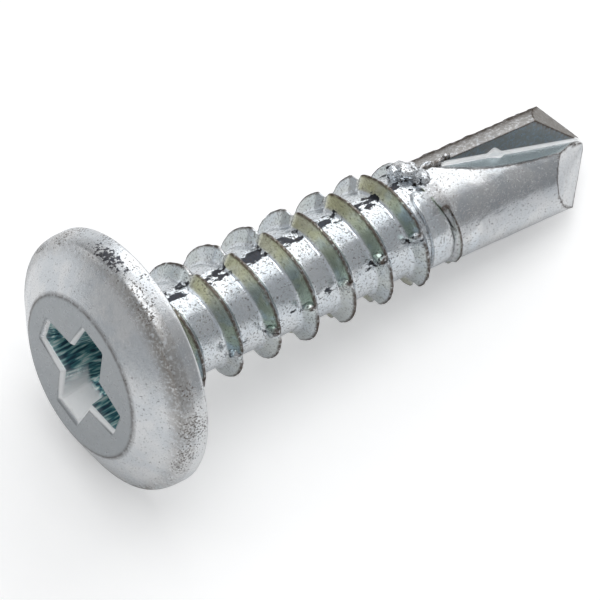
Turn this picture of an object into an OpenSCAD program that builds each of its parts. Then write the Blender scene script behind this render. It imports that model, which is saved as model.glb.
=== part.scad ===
// Self-drilling framing screw with a low flat-crowned head, a cross recess and a forged two-flute point.
// It is one piece of forged and rolled steel, modelled lying at rest on the rim of its head and on its point.
// Its own axis runs along z from the crown (below zero) through the bearing face (zero) to the point.
// The pose at the end of the file lays it on the floor with the point towards +x.

/* [Head] */
// diameter over the widest part of the rim, mm
head_d = 9.7; // [9.3:0.05:10.4]
// diameter where the sloping top meets the rim band, mm
slope_d = 9.3; // [8.9:0.05:9.6]
// diameter of the flat crown, mm
crown_d = 6.12; // [5.6:0.02:6.6]
// height of the sloping top, from the rim band to the crown, mm
crown_rise = 0.99; // [0.7:0.01:1.2]
// height of the rim band, mm
rim_h = 0.89; // [0.7:0.01:1.1]
// rounding under the rim, mm
under_r = 0.2; // [0.1:0.01:0.3]
// height of the fillet between the underside and the root, mm
neck_h = 0.45; // [0.3:0.01:0.6]
// edge rounding between crown and slope, mm
crown_edge = 0.12; // [0.05:0.01:0.2]

/* [Cross recess] */
// tip to tip across two opposite wings at the mouth, mm
recess_d = 4.55; // [4.2:0.01:4.8]
// width of a wing at its outer end, at the mouth, mm
wing_w = 1.16; // [1:0.01:1.3]
// distance from the axis to a corner between two wings, at the mouth, mm
corner_r = 1.24; // [1.05:0.01:1.4]
// depth of the wings under the crown, mm
recess_depth = 2.3; // [2:0.05:2.5]
// slope of the wing ends from the axis, degrees
wing_slope = 26.5; // [24:0.5:28]
// turn of the wings about the axis, degrees
recess_turn = 66; // [0:1:90]

/* [Thread] */
// diameter over the thread crests, mm
crest_d = 4.7; // [4.5:0.01:4.8]
// diameter of the thread root, mm
root_d = 3.58; // [3.4:0.01:3.7]
// distance between neighbouring turns, mm
pitch = 1.674; // [1.5:0.01:1.8]
// width of the flat on the crest, mm
crest_w = 0.09; // [0.05:0.01:0.15]
// angle of each flank from square, degrees
flank = 30; // [26:1:32]
// height over the bearing face of the crest at zero turn, mm
thread_z = 0.98; // [0.9:0.01:1.1]
// start of the thread under the head, degrees of turn
thread_from = -100; // [-120:5:-60]
// end of the thread on the drill body, degrees of turn
thread_to = 2800; // [2770:5:2820]

/* [Drill point] */
// diameter of the drill body, mm
point_d = 3.92; // [3.8:0.01:4.1]
// height of the point's tip over the bearing face, mm
tip_z = 20.5; // [20:0.05:22]
// drop of the cutting ridges from the tip to a radius of 1 mm, mm
ridge_drop = 0.72; // [0.6:0.01:0.8]
// drop of the four facets from a ridge to 1 mm beside it, mm
facet_drop = 1.12; // [0.9:0.01:1.2]
// length of the blunt chisel edge at the tip, mm
chisel_w = 0.48; // [0.3:0.01:0.6]
// shift of the chisel edge from the axis, mm
chisel_off = 0.2; // [0:0.01:0.3]
// skew of the end facets, degrees
point_skew = 4.3; // [0:0.1:6]
// where the flutes come out of the surface, mm over the bearing face
flute_z = 14.0; // [13.5:0.05:14.5]
// distance of the flute's bottom from the axis where it comes out, mm
flute_r = 1.85; // [1.7:0.01:1.95]
// distance of the flute's bottom from the axis at the tip, mm
web_r = 0.22; // [0.15:0.01:0.35]
// direction of the flat face of the flute, degrees of turn
rake_turn = 42.5; // [35:0.5:50]
// angle of the flute's second wall from square to its flat face where it comes out, degrees
heel_start = 8; // [6:1:16]
// angle of that wall at the tip, degrees
heel_tip = 30; // [20:1:32]
// sideways shift of the forged body, mm
point_shift = 0.04; // [0:0.01:0.2]
// lean of the forged body, degrees
point_lean = 1.5; // [0:0.1:2]

/* [Rest] */
// direction that faces up as the screw lies on both edges of its far flute, degrees of turn
up_turn = 64.4; // [60:0.1:70]
// distance from the tip back to the place where the flute's edge touches the floor, mm
rest_back = 2.07; // [1.9:0.01:2.3]
// angle from the downward direction to that place on the drill body, degrees
rest_half = 22; // [20:0.5:28]

/* [Hidden] */
$fn = 64;
rim_r = head_d / 2;
slope_r = slope_d / 2;
crown_r = crown_d / 2;
head_h = rim_h + under_r + crown_rise;
rim_z = -under_r - rim_h;
crown_z = -head_h;
crest_r = crest_d / 2;
root_r = root_d / 2;
point_r = point_d / 2;
neck_r = crest_r + 0.1;
body_z = 12;
core_z = body_z + 1.95;
start_slant = 20;
rest_z = tip_z - rest_back;
rest_r = point_r * cos(rest_half);
foot_r = rim_r - under_r - rest_r;
foot_z = rest_z + under_r;
tilt = atan(foot_r / foot_z) + asin(under_r / norm([foot_r, foot_z]));
lift = under_r + (rim_r - under_r) * cos(tilt) - under_r * sin(tilt);
head_x = -crown_r * sin(tilt) + crown_z * cos(tilt);
tip_x = tip_z * cos(tilt);

// head, root and shoulder, turned
module turned() {
    rotate_extrude($fn = 96)
        polygon(concat(
            [[0, crown_z]],
            crown_profile(),
            [for (a = [0 : 15 : 90]) [slope_r + (rim_r - slope_r) * sin(a), rim_z + rim_h * 0.7 * (1 - cos(a))]],
            [[rim_r, -under_r]],
            [for (a = [15 : 15 : 90]) [rim_r - under_r * (1 - cos(a)), -under_r + under_r * sin(a)]],
            neck_profile(),
            [[root_r, core_z], [0, core_z]]
        ));
}

// hollow fillet that clears the thread, from the flat underside to the root
function neck_profile() = [for (a = [0 : 22.5 : 90])
    [neck_r - (neck_r - root_r) * sin(a), neck_h * (1 - cos(a))]];

function crown_profile() = [
    [crown_r - crown_edge, crown_z],
    [crown_r, crown_z + 0.02],
    [crown_r + crown_edge, crown_z + 0.02 + crown_edge * crown_rise / (slope_r - crown_r)]
];

// thread ridge, a closed ring-by-ring sweep whose inner side is sunk in the root
n_rings = round((thread_to - thread_from) / 12);
step = (thread_to - thread_from) / n_rings;
sink = 0.15;

// crest radius along the turn: it grows out of the root under the head and out of the drill body at the end
function grow(t, a, b) = let (x = min(1, max(0, (t - a) / (b - a)))) x * x * (3 - 2 * x);
function crest_at(t) =
    root_r - 0.05
    + (crest_r - root_r + 0.05) * grow(t, thread_from, thread_from + 220)
    * (1 - 0.33 * grow(t, thread_to - 370, thread_to - 290) - 0.42 * grow(t, thread_to - 265, thread_to - 240)
        + 0.35 * grow(t, thread_to - 200, thread_to - 145) - 0.6 * grow(t, thread_to - 70, thread_to));

function ring(t) = let (
        rc = crest_at(t),
        ri = root_r - sink,
        zc = thread_z + pitch * t / 360,
        w = crest_w / 2,
        b = w + (rc - ri) * tan(flank)
    )
    [for (p = [[ri, zc - b], [rc, zc - w], [rc, zc + w], [ri, zc + b]])
        [p[0] * cos(t), p[0] * sin(t), p[1]]];

module thread() {
    pts = [for (i = [0 : n_rings]) each ring(thread_from + i * step)];
    sides = [for (i = [0 : n_rings - 1]) for (j = [0 : 3])
        let (a = 4 * i + j, b = 4 * i + (j + 1) % 4)
        each [[a, b + 4, a + 4], [a, b, b + 4]]];
    last = 4 * n_rings;
    polyhedron(
        points = pts,
        faces = concat(sides, [[3, 2, 1, 0]], [[last, last + 1, last + 2, last + 3]]),
        convexity = 12
    );
}

// drill body with four end facets and two flutes, forged a little off the axis
module drill() {
    difference() {
        translate([-point_shift, 0, body_z])
            rotate([0, -point_lean, 0])
                difference() {
                    cylinder(r = point_r, h = tip_z - body_z);
                    for (turn = [0, 180]) rotate([0, 0, turn]) flute();
                    // slanted start of the forged body
                    rotate([0, 0, 30])
                        rotate([0, start_slant, 0])
                            translate([-5, -5, -8.9])
                                cube([10, 10, 10]);
                }
        translate([-chisel_off, 0, tip_z])
            rotate([0, -point_skew, 0])
                for (turn = [0, 180]) rotate([0, 0, turn]) {
                    facet(1);
                    facet(-1);
                }
    }
}

// one end facet, a half space above a plane that falls from the tip
module facet(side) {
    nx = ridge_drop;
    ny = side * facet_drop;
    len_n = sqrt(nx * nx + ny * ny + 1);
    translate([chisel_w / 2, 0, 0])
        rotate([0, 0, atan2(ny, nx)])
            rotate([0, acos(1 / len_n), 0])
                translate([-8, -8, 0])
                    cube([16, 16, 8]);
}

// groove with one flat face through the axis and one wall that opens more and more towards the tip
module flute() {
    pts = [for (i = [-3 : 12]) each flute_ring(i / 11)];
    rows = 16;
    sides = [for (i = [0 : rows - 2]) for (j = [0 : 3])
        let (a = 4 * i + j, b = 4 * i + (j + 1) % 4)
        each [[a, b + 4, b], [a, a + 4, b + 4]]];
    last = 4 * (rows - 1);
    rotate([0, 0, rake_turn])
        polyhedron(
            points = pts,
            faces = concat(sides, [[0, 1, 2, 3]], [[last + 3, last + 2, last + 1, last]]),
            convexity = 4
        );
}

// section of the groove at a share of the way from where it comes out to the tip
function flute_ring(f) = let (
        z = flute_z - body_z + (tip_z - flute_z) * f,
        r = flute_r + (web_r - flute_r) * f,
        heel = heel_start + (heel_tip - heel_start) * grow(f, 0.12, 1.15),
        wx = 5 * sin(heel),
        wy = 5 * cos(heel)
    )
    [[r, 0, z], [r + 5, 0, z], [r + 5 + wx, wy, z], [r + wx, wy, z]];

module screw() {
    color([0.78, 0.79, 0.8])
        difference() {
            union() {
                turned();
                thread();
                drill();
            }
            recess();
        }
}

// cross recess: four tapered wings and a cone at the bottom
module recess() {
    run = recess_depth * tan(wing_slope);
    depth = recess_depth;
    translate([0, 0, crown_z])
        rotate([0, 0, recess_turn])
            intersection() {
                wings();
                translate([0, 0, -1])
                    cylinder(r1 = recess_d / 2 + tan(wing_slope), r2 = recess_d / 2 - run, h = depth + 1);
            }
}

module wings() {
    top = [for (k = [0 : 3]) each star(k, 1.04, 1.02)];
    low = [for (k = [0 : 3]) each star(k, 0.62, 0.5)];
    z0 = -0.4;
    z1 = recess_depth + 0.4;
    sides = [for (i = [0 : 11]) let (j = (i + 1) % 12) each [[i, j + 12, j], [i, i + 12, j + 12]]];
    polyhedron(
        points = concat([for (p = top) [p[0], p[1], z0]], [for (p = low) [p[0], p[1], z1]]),
        faces = concat(sides, [[for (i = [0 : 11]) i]], [[for (i = [23 : -1 : 12]) i]])
    );
}

function star(k, w, c) = let (a = 90 * k, e = recess_d / 2 + 0.5, h = wing_w * w / 2, r = corner_r * c)
    [
        [e * cos(a) + h * sin(a), e * sin(a) - h * cos(a)],
        [e * cos(a) - h * sin(a), e * sin(a) + h * cos(a)],
        [r * cos(a + 45), r * sin(a + 45)]
    ];

// lay it on the floor on the rim of its head and the flute's edges, centred over the origin
module lie() {
    translate([-(head_x + tip_x) / 2, 0, lift])
        rotate([0, 90 + tilt, 0])
            rotate([0, 0, 180 - up_turn])
                children();
}

lie() screw();
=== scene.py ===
"""A zinc-plated self-drilling framing screw, lying on a white table in soft studio light.

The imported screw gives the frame. Its node is replaced by one closed skin of the same sizes, with the detail
that forging, thread rolling and plating leave: rounded edges, notches and lumps along the die seams, the flash
line in each flute, burrs where the thread runs out, pits and coloured passivation.
"""
import math

import bmesh
import bpy
from mathutils import Matrix, Vector, noise


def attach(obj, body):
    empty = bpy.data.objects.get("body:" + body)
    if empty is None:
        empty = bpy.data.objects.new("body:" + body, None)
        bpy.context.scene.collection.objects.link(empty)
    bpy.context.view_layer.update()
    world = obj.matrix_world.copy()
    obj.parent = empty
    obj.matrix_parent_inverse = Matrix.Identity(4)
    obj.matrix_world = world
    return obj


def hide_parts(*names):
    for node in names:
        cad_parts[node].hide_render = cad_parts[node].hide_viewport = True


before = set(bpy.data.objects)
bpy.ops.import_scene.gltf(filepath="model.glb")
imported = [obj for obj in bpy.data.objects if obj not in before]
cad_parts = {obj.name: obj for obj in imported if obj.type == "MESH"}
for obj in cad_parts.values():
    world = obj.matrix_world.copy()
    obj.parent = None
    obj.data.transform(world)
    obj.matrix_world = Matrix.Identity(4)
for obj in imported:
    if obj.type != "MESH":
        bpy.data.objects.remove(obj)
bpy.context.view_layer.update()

bl_info = {
    "name": "Framing screw",
    "version": (1, 0, 0),
    "blender": (4, 5, 0),
    "location": "View3D > Sidebar > Framing screw",
    "description": "Builds a self-drilling framing screw with its zinc finish, and the studio it is shown in",
    "category": "Object",
}


# Sizes and colours


def length(label, description, default):
    """A length in metres, shown in the scene's unit."""
    return bpy.props.FloatProperty(name=label, description=description, default=default, min=0.0, precision=5,
                                   subtype="DISTANCE", unit="LENGTH")


def turn(label, description, degrees):
    """An angle, shown in degrees."""
    return bpy.props.FloatProperty(name=label, description=description, default=math.radians(degrees), precision=4,
                                   subtype="ANGLE", unit="ROTATION")


def colour(label, description, default):
    """A plain linear colour."""
    return bpy.props.FloatVectorProperty(name=label, description=description, default=default, min=0.0, max=1.0,
                                         size=3, subtype="COLOR")


def gradient(label, description, default):
    """A fall per length."""
    return bpy.props.FloatProperty(name=label, description=description, default=default)


class ScrewSizes(bpy.types.PropertyGroup):
    """The sizes of the screw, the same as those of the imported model."""

    head_d: length("Head diameter", "Over the widest part of the rim", 0.0097)
    slope_d: length("Slope diameter", "Where the sloping top meets the rim band", 0.0093)
    crown_d: length("Crown diameter", "Over the flat crown", 0.00612)
    crown_rise: length("Crown rise", "Height of the sloping top", 0.00099)
    rim_h: length("Rim height", "Height of the rim band", 0.00089)
    under_r: length("Under radius", "Rounding under the rim", 0.0002)
    neck_h: length("Neck height", "Height of the fillet between the underside and the root", 0.00045)
    recess_d: length("Recess diameter", "Tip to tip across two wings of the cross recess", 0.00455)
    wing_w: length("Wing width", "Width of a wing at its outer end", 0.00116)
    corner_r: length("Corner radius", "From the axis to a corner between two wings", 0.00124)
    recess_depth: length("Recess depth", "Depth of the wings under the crown", 0.0023)
    wing_slope: turn("Wing slope", "Slope of the wing ends from the axis", 26.5)
    recess_turn: turn("Recess turn", "Turn of the wings about the axis", 66.0)
    crest_d: length("Crest diameter", "Over the thread crests", 0.0047)
    root_d: length("Root diameter", "Over the thread root", 0.00358)
    pitch: length("Pitch", "Distance between neighbouring turns", 0.001674)
    crest_w: length("Crest width", "Width of the flat on the crest", 0.00009)
    flank: turn("Flank angle", "Angle of each flank from square", 30.0)
    thread_z: length("Thread height", "Height of the crest at zero turn over the bearing face", 0.00098)
    thread_from: turn("Thread start", "Turn at which the thread starts", -100.0)
    thread_to: turn("Thread end", "Turn at which the thread ends", 2800.0)
    point_d: length("Point diameter", "Over the drill body", 0.00392)
    tip_z: length("Tip height", "Height of the tip over the bearing face", 0.0205)
    ridge_drop: gradient("Ridge drop", "Fall of a cutting ridge per length", 0.72)
    facet_drop: gradient("Facet drop", "Fall of a facet per length", 1.12)
    chisel_w: length("Chisel width", "Length of the blunt edge at the tip", 0.00048)
    chisel_off: length("Chisel offset", "Shift of the chisel edge from the axis", 0.0002)
    point_skew: turn("Point skew", "Skew of the end facets", 4.3)
    flute_z: length("Flute start", "Where the flutes come out of the surface", 0.014)
    flute_r: length("Flute depth there", "From the axis to the flute's bottom at its start", 0.00185)
    web_r: length("Web", "From the axis to the flute's bottom at the tip", 0.00022)
    rake_turn: turn("Rake turn", "Direction of the flute's flat face", 42.5)
    heel_start: turn("Heel at start", "Slope of the flute's second wall where it comes out", 8.0)
    heel_tip: turn("Heel at tip", "Slope of the flute's second wall at the tip", 30.0)
    point_shift: length("Point shift", "Sideways shift of the forged body", 0.00004)
    point_lean: turn("Point lean", "Lean of the forged body", 1.5)
    up_turn: turn("Upward turn", "Direction that faces up as the screw lies", 64.4)
    rest_back: length("Rest distance", "From the tip back to where the flute's edge touches the table", 0.00207)
    rest_half: turn("Rest angle", "From straight down to that place on the drill body", 22.0)


class ScrewColours(bpy.types.PropertyGroup):
    """The colours of the plating and of what has settled or worn on it."""

    zinc: colour("Zinc", "Bright plated steel", (0.68, 0.69, 0.70))
    zinc_blue: colour("Zinc, cool", "Cooler patches of the plating", (0.58, 0.61, 0.64))
    olive: colour("Olive film", "Yellow-green film on the flanks", (0.46, 0.46, 0.28))
    teal: colour("Teal film", "Blue-green film in the recess", (0.07, 0.24, 0.28))
    brown: colour("Worn edge", "Brown-black of worn and chipped edges", (0.085, 0.060, 0.045))
    # painted shade: the crown is painted darker than the zinc, standing in for the dim surroundings its flat top
    # mirrors
    crown: colour("Crown", "Duller plating of the crown", (0.33, 0.35, 0.365))
    # the flute's flat face is painted this dark colour all over
    rake: colour("Rake face", "Dark film on the flat face of the flute", (0.18, 0.225, 0.275))
    grime: colour("Grime", "Brown-grey dirt along the rim", (0.235, 0.21, 0.185))
    table: colour("Table", "The white table", (0.86, 0.86, 0.86))


# Modelling helpers. Everything is modelled in millimetres about the screw's own axis, and laid down at the end.

MM = 1000.0
# heights over the bearing face, mm: the forged body's own frame, the end of the root inside it, and where the
# thread and the band before it have run out
BODY_Z, ROOT_END, SHANK_END = 12.0, 13.95, 13.2
# how finely the drill body is sliced along and across its axis, mm, and the thread along its helix, degrees
SLICE_UP, SLICE_ACROSS, THREAD_STEP = 0.125, 0.13, 3.0
# steps round the head and the root, and the angle from which an edge stays sharp
ROUND_STEPS, SHARP_FROM = 160, math.radians(32)
# width of the dark along worn edges and creases on the head and the thread, m, and how much wider it is on the drill
# body
EDGE_WIDTH, DRILL_EDGES = 0.00005, 2.4


def deselect():
    """Nothing stays selected."""
    if bpy.context.mode != "OBJECT":
        bpy.ops.object.mode_set(mode="OBJECT")
    bpy.ops.object.select_all(action="DESELECT")


def activate(obj):
    """Only this object is selected, and it is the active one."""
    deselect()
    obj.select_set(True)
    bpy.context.view_layer.objects.active = obj


def smooth_step(value, low, high):
    """0 below low, 1 above high, and smooth between them."""
    x = min(1.0, max(0.0, (value - low) / (high - low)))
    return x * x * (3.0 - 2.0 * x)


def hump(value, middle, half):
    """1 at the middle, falling smoothly to 0 at half to each side."""
    return 1.0 - smooth_step(abs(value - middle), 0.0, half)


def turned_form(name, profile, steps):
    """A closed turned form: a vertex is extruded along the profile and the edge is spun about the axis."""
    deselect()
    bpy.ops.mesh.primitive_plane_add(size=0.1)
    obj = bpy.context.object
    obj.name = name
    bpy.ops.object.mode_set(mode="EDIT")
    bpy.ops.mesh.select_all(action="SELECT")
    bpy.ops.mesh.merge(type="CENTER")
    here = Vector((profile[0][0], 0.0, profile[0][1]))
    bpy.ops.transform.translate(value=here)
    for r, z in profile[1:]:
        there = Vector((r, 0.0, z))
        bpy.ops.mesh.extrude_region_move(TRANSFORM_OT_translate={"value": there - here})
        here = there
    bpy.ops.mesh.select_all(action="SELECT")
    bpy.ops.mesh.spin(steps=steps, angle=math.tau, center=(0, 0, 0), axis=(0, 0, 1), use_auto_merge=True)
    bpy.ops.mesh.select_all(action="SELECT")
    bpy.ops.mesh.remove_doubles(threshold=0.0008)
    bpy.ops.mesh.normals_make_consistent(inside=False)
    bpy.ops.object.mode_set(mode="OBJECT")
    return obj


def lofted_form(name, rings):
    """A closed solid through rings of points, with an end face on the first and the last."""
    mesh = bpy.data.meshes.new(name)
    bm = bmesh.new()
    rows = [[bm.verts.new(p) for p in ring] for ring in rings]
    count = len(rows[0])
    for low, high in zip(rows, rows[1:]):
        for i in range(count):
            j = (i + 1) % count
            bm.faces.new((low[i], low[j], high[j], high[i]))
    bm.faces.new(list(reversed(rows[0])))
    bm.faces.new(rows[-1])
    bmesh.ops.recalc_face_normals(bm, faces=bm.faces)
    bm.to_mesh(mesh)
    bm.free()
    obj = bpy.data.objects.new(name, mesh)
    bpy.context.scene.collection.objects.link(obj)
    return obj


def combine(obj, others, how):
    """Boolean with an exact solver, after which the tools are gone."""
    tools = bpy.data.collections.new("tools")
    for other in others:
        tools.objects.link(other)
    activate(obj)
    mod = obj.modifiers.new("combine", "BOOLEAN")
    mod.operation = how
    mod.operand_type = "COLLECTION"
    mod.collection = tools
    mod.solver = "EXACT"
    bpy.ops.object.modifier_apply(modifier=mod.name)
    for other in others:
        mesh = other.data
        bpy.data.objects.remove(other)
        bpy.data.meshes.remove(mesh)
    bpy.data.collections.remove(tools)
    return obj


def cut_plane(point, normal, clear):
    """Cuts everything in edit mode with a plane, and with clear drops and closes the side the normal points to."""
    bpy.ops.mesh.select_all(action="SELECT")
    bpy.ops.mesh.bisect(plane_co=point, plane_no=normal, use_fill=clear, clear_outer=clear, clear_inner=False,
                        threshold=1e-5)


def move_points(obj, rule):
    """Moves each point of a mesh to where rule puts it."""
    for v in obj.data.vertices:
        v.co = rule(v.co.copy())
    obj.data.update()


# Forms of the screw


def arc(cx, cz, radius, start, end, count):
    """Points on an arc in the profile, angles in degrees from the outward direction towards the point."""
    points = []
    for i in range(count + 1):
        a = math.radians(start + (end - start) * i / count)
        points.append((cx + radius * math.cos(a), cz + radius * math.sin(a)))
    return points


def spokes(angle):
    """Unit vectors outwards and round at an angle about the axis."""
    return Vector((math.cos(angle), math.sin(angle), 0)), Vector((-math.sin(angle), math.cos(angle), 0))


def at(r, angle, z):
    """The point at a distance from the axis, an angle about it and a height."""
    return Vector((r * math.cos(angle), r * math.sin(angle), z))


def between(a, b, count):
    """Even points after a up to b."""
    return [(a[0] + (b[0] - a[0]) * i / count, a[1] + (b[1] - a[1]) * i / count) for i in range(1, count + 1)]


def head_profile(s):
    """Half section of the head: flat crown, slope, rim band, underside and the fillet into the root."""
    rim, slope, crown, root = s.head_d * MM / 2, s.slope_d * MM / 2, s.crown_d * MM / 2, s.root_d * MM / 2
    under, band = s.under_r * MM, s.rim_h * MM
    rim_z = -under - band
    crown_z = rim_z - s.crown_rise * MM
    points = [(0.0, crown_z)]
    points += between((0.0, crown_z), (0.9, crown_z), 3)
    points += between((0.9, crown_z), (crown - 0.14, crown_z), 20)
    edge = [(crown - 0.09, crown_z + 0.002), (crown - 0.04, crown_z + 0.008), (crown + 0.01, crown_z + 0.026)]
    edge.append((crown + 0.06, crown_z + 0.052))
    points += edge
    start, end = edge[-1], (slope - 0.03, rim_z - 0.02)
    for i in range(1, 15):
        f = i / 14
        bulge = 0.025 * math.sin(math.pi * f)
        points.append((start[0] + (end[0] - start[0]) * f + 0.5 * bulge, start[1] + (end[1] - start[1]) * f - bulge))
    for i in range(1, 11):
        a = math.radians(9.0 * i)
        points.append((slope + (rim - slope) * math.sin(a), rim_z + band * 0.7 * (1 - math.cos(a))))
    points += between(points[-1], (rim, -under), 3)
    points += arc(rim - under, -under, under, 15, 90, 5)
    neck, neck_h = s.crest_d * MM / 2 + 0.1, s.neck_h * MM
    points += between((rim - under, 0.0), (neck, 0.0), 7)
    for i in range(1, 9):
        a = math.pi / 16 * i
        points.append((neck - (neck - root) * math.sin(a), neck_h * (1 - math.cos(a))))
    return points


def core_profile(s):
    """The head's section carried on down the thread root to the shoulder under the drill body."""
    root = s.root_d * MM / 2
    points = head_profile(s)
    points += between((root, s.neck_h * MM), (root, ROOT_END), 90)
    return points + [(0.0, ROOT_END)]


def crest_height(t, s):
    """How far the thread stands out at a turn, as a share of its full height."""
    a, b = math.degrees(s.thread_from), math.degrees(s.thread_to)
    rise = smooth_step(t, a, a + 220)
    fall = 1 - 0.33 * smooth_step(t, b - 370, b - 290) - 0.42 * smooth_step(t, b - 265, b - 240)
    fall += 0.35 * smooth_step(t, b - 200, b - 145) - 0.6 * smooth_step(t, b - 70, b)
    return rise * fall


def seam_angles(t):
    """Directions of the two die seams at a turn of the thread: they creep back as the thread advances."""
    n = t / 360.0
    return 45.0 - 6.0 * (n - 1.0), 143.0 - 6.6 * (n - 1.0)


def seam_distance(t):
    """Signed degrees from the nearer upper seam and from the nearer lower seam, on either side of the screw."""
    top, low = seam_angles(t)
    return (t - top + 90.0) % 180.0 - 90.0, (t - low + 90.0) % 180.0 - 90.0


def thread_form(s):
    """The rolled ridge: a rounded section with filleted feet swept along the helix, notched at the seams."""
    root, crest = s.root_d * MM / 2, s.crest_d * MM / 2
    pitch, z0, w = s.pitch * MM, s.thread_z * MM, s.crest_w * MM / 2
    slope = math.tan(s.flank)
    a, b = math.degrees(s.thread_from), math.degrees(s.thread_to)
    full = crest - root
    half = w + full * slope
    section = [(-0.12, half + 0.10), (0.0, half + 0.085), (0.012, half + 0.03), (0.05, half - 0.02)]
    section += [(full * f, w + full * (1 - f) * slope) for f in (0.2, 0.36, 0.52, 0.68, 0.83)]
    section += [(full - 0.045, w + 0.026), (full - 0.014, w + 0.004), (full, w - 0.02)]
    rings = []
    count = int((b - a) / THREAD_STEP)
    for i in range(count + 1):
        t = a + (b - a) * i / count
        share = crest_height(t, s)
        top, low = seam_distance(t)
        n = t / 360.0
        rough = noise.noise(Vector((t * 0.09, 3.1, 0.0))) * 0.5 + noise.noise(Vector((t * 0.31, 7.7, 0.0))) * 0.5
        body = smooth_step(share, 0.35, 0.8)
        chip = 0.22 * hump(top, 0.0, 9.0) + 0.10 * hump(low - 4.0, 0.0, 8.0)
        chip += 0.05 * max(0.0, rough)
        if n < 0.8:
            chip *= 0.4
        h = max(0.02, share * (1.0 - body * chip / full))
        lean = 0.02 * noise.noise(Vector((t * 0.03, 0.0, 5.0)))
        swell = 1.0 + body * (0.22 * hump(low - 4.0, 0.0, 11.0) + 0.05 * rough)
        plate = smooth_step(t, b - 385, b - 345) * (1.0 - smooth_step(t, b - 250, b - 170))
        crush = 1.0 + 3.5 * hump(low, 0.0, 15.0) + 1.8 * hump(top, 0.0, 11.0)
        turn_at = math.radians(t)
        points = []
        flat = [(-1, p) for p in section] + [(1, p) for p in reversed(section)]
        for side, (dr, dz) in flat:
            spot = Vector((t * 0.16, dr * 5.0, side * 4.0 + 20.0))
            grain = (0.012 * noise.noise(spot) + 0.006 * noise.noise(spot * 2.7)) * smooth_step(h, 0.05, 0.4)
            r = root + dr * h if dr > 0 else root + dr
            z = side * dz * (h * swell if dr > 0.03 else max(0.25, h)) + (lean if dr > 0.3 else 0.0)
            if dr > 0.03:
                z += plate * (side * (w + (full - dr * h) * slope) * 0.92 - z)
                r += grain * crush
                z += 0.7 * grain * (crush - 1.0) * (1.0 - dr / full)
            points.append(at(r, turn_at, z0 + pitch * t / 360.0 + z))
        rings.append(points)
    return lofted_form("thread", rings)


# the worn lip round the mouth of the recess: how far it is set back, and how deep it goes, mm
LIP, LIP_DEPTH = 0.12, 0.14


def recess_form(s):
    """The cutter for the cross recess: four tapered wings, held inside a cone."""
    top_z = -(s.rim_h + s.under_r + s.crown_rise) * MM
    depth, reach, wing, corner = s.recess_depth * MM, s.recess_d * MM / 2, s.wing_w * MM, s.corner_r * MM
    turn0 = s.recess_turn
    rings = []
    heights = [-0.4, 0.0, 0.03, 0.08, 0.14, 0.165, 0.19] + [0.19 + (depth + 0.21) * i / 12 for i in range(1, 13)]
    for z in heights:
        f = (z + 0.4) / (depth + 0.8)
        lip = LIP * max(0.0, 1.0 - max(0.0, z) / LIP_DEPTH) ** 1.3
        w = wing * (1.04 - 0.42 * f) / 2 + 0.75 * lip
        c = corner * (1.02 - 0.52 * f) + lip
        e = reach - z * math.tan(s.wing_slope) + 0.6 * lip
        ring = []
        for k in range(4):
            a = turn0 + k * math.pi / 2
            out, side = spokes(a)
            end = max(e, c * 0.8 + 0.02)
            for far, wide in ((end - 0.06, -w), (end, 0.07 - w), (end, w - 0.07), (end - 0.06, w)):
                p = out * far + side * wide
                ring.append((p.x, p.y, top_z + z))
            corner_at = spokes(a + math.pi / 4)[0] * c
            ring.append((corner_at.x, corner_at.y, top_z + z))
        rings.append(ring)
    return lofted_form("recess", rings)


def body_place(s):
    """Where the forged drill body sits: shifted and leaning a little from the axis."""
    return Matrix.Translation((-s.point_shift * MM, 0, BODY_Z)) @ Matrix.Rotation(-s.point_lean, 4, "Y")


def flute_form(s, place, half_turn):
    """The cutter for one flute: one flat face through the axis and one wall that opens towards the tip."""
    tip, start = s.tip_z * MM - BODY_Z, s.flute_z * MM - BODY_Z
    rings = []
    for i in range(19):
        z = start - 1.6 + i * 0.52
        f = (z - start) / (tip - start)
        r = s.flute_r * MM + (s.web_r - s.flute_r) * MM * f
        heel = s.heel_start + (s.heel_tip - s.heel_start) * smooth_step(f, 0.12, 1.15)
        out, wall = Vector((1, 0)), Vector((math.sin(heel), math.cos(heel)))
        corner = out * r
        points = [corner + out * 0.03, corner + out * 5.0, corner + out * 5.0 + wall * 5.0]
        points += [corner + wall * reach + out * 0.06 * math.sin(math.pi * min(1.0, reach / 2.2)) * f
                   for reach in (5.0, 2.4, 1.9, 1.4, 0.9, 0.45, 0.16)]
        points += [corner + wall * 0.05 + out * 0.004]
        turn_by = Matrix.Rotation(s.rake_turn + half_turn, 2)
        rings.append([tuple(place @ Vector((*(turn_by @ p), z))) for p in points])
    return lofted_form("flute", rings)


def facet_planes(s):
    """Point and outward normal of each of the four end facets."""
    frame_at = Matrix.Translation((-s.chisel_off * MM, 0, s.tip_z * MM)) @ Matrix.Rotation(-s.point_skew, 4, "Y")
    planes = []
    for half_turn in (0.0, math.pi):
        for side in (1, -1):
            spin = frame_at @ Matrix.Rotation(half_turn, 4, "Z")
            point = spin @ Vector((s.chisel_w * MM / 2, 0, 0))
            normal = (spin.to_3x3() @ Vector((s.ridge_drop, side * s.facet_drop, 1.0))).normalized()
            planes.append((point, normal))
    return planes


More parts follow.
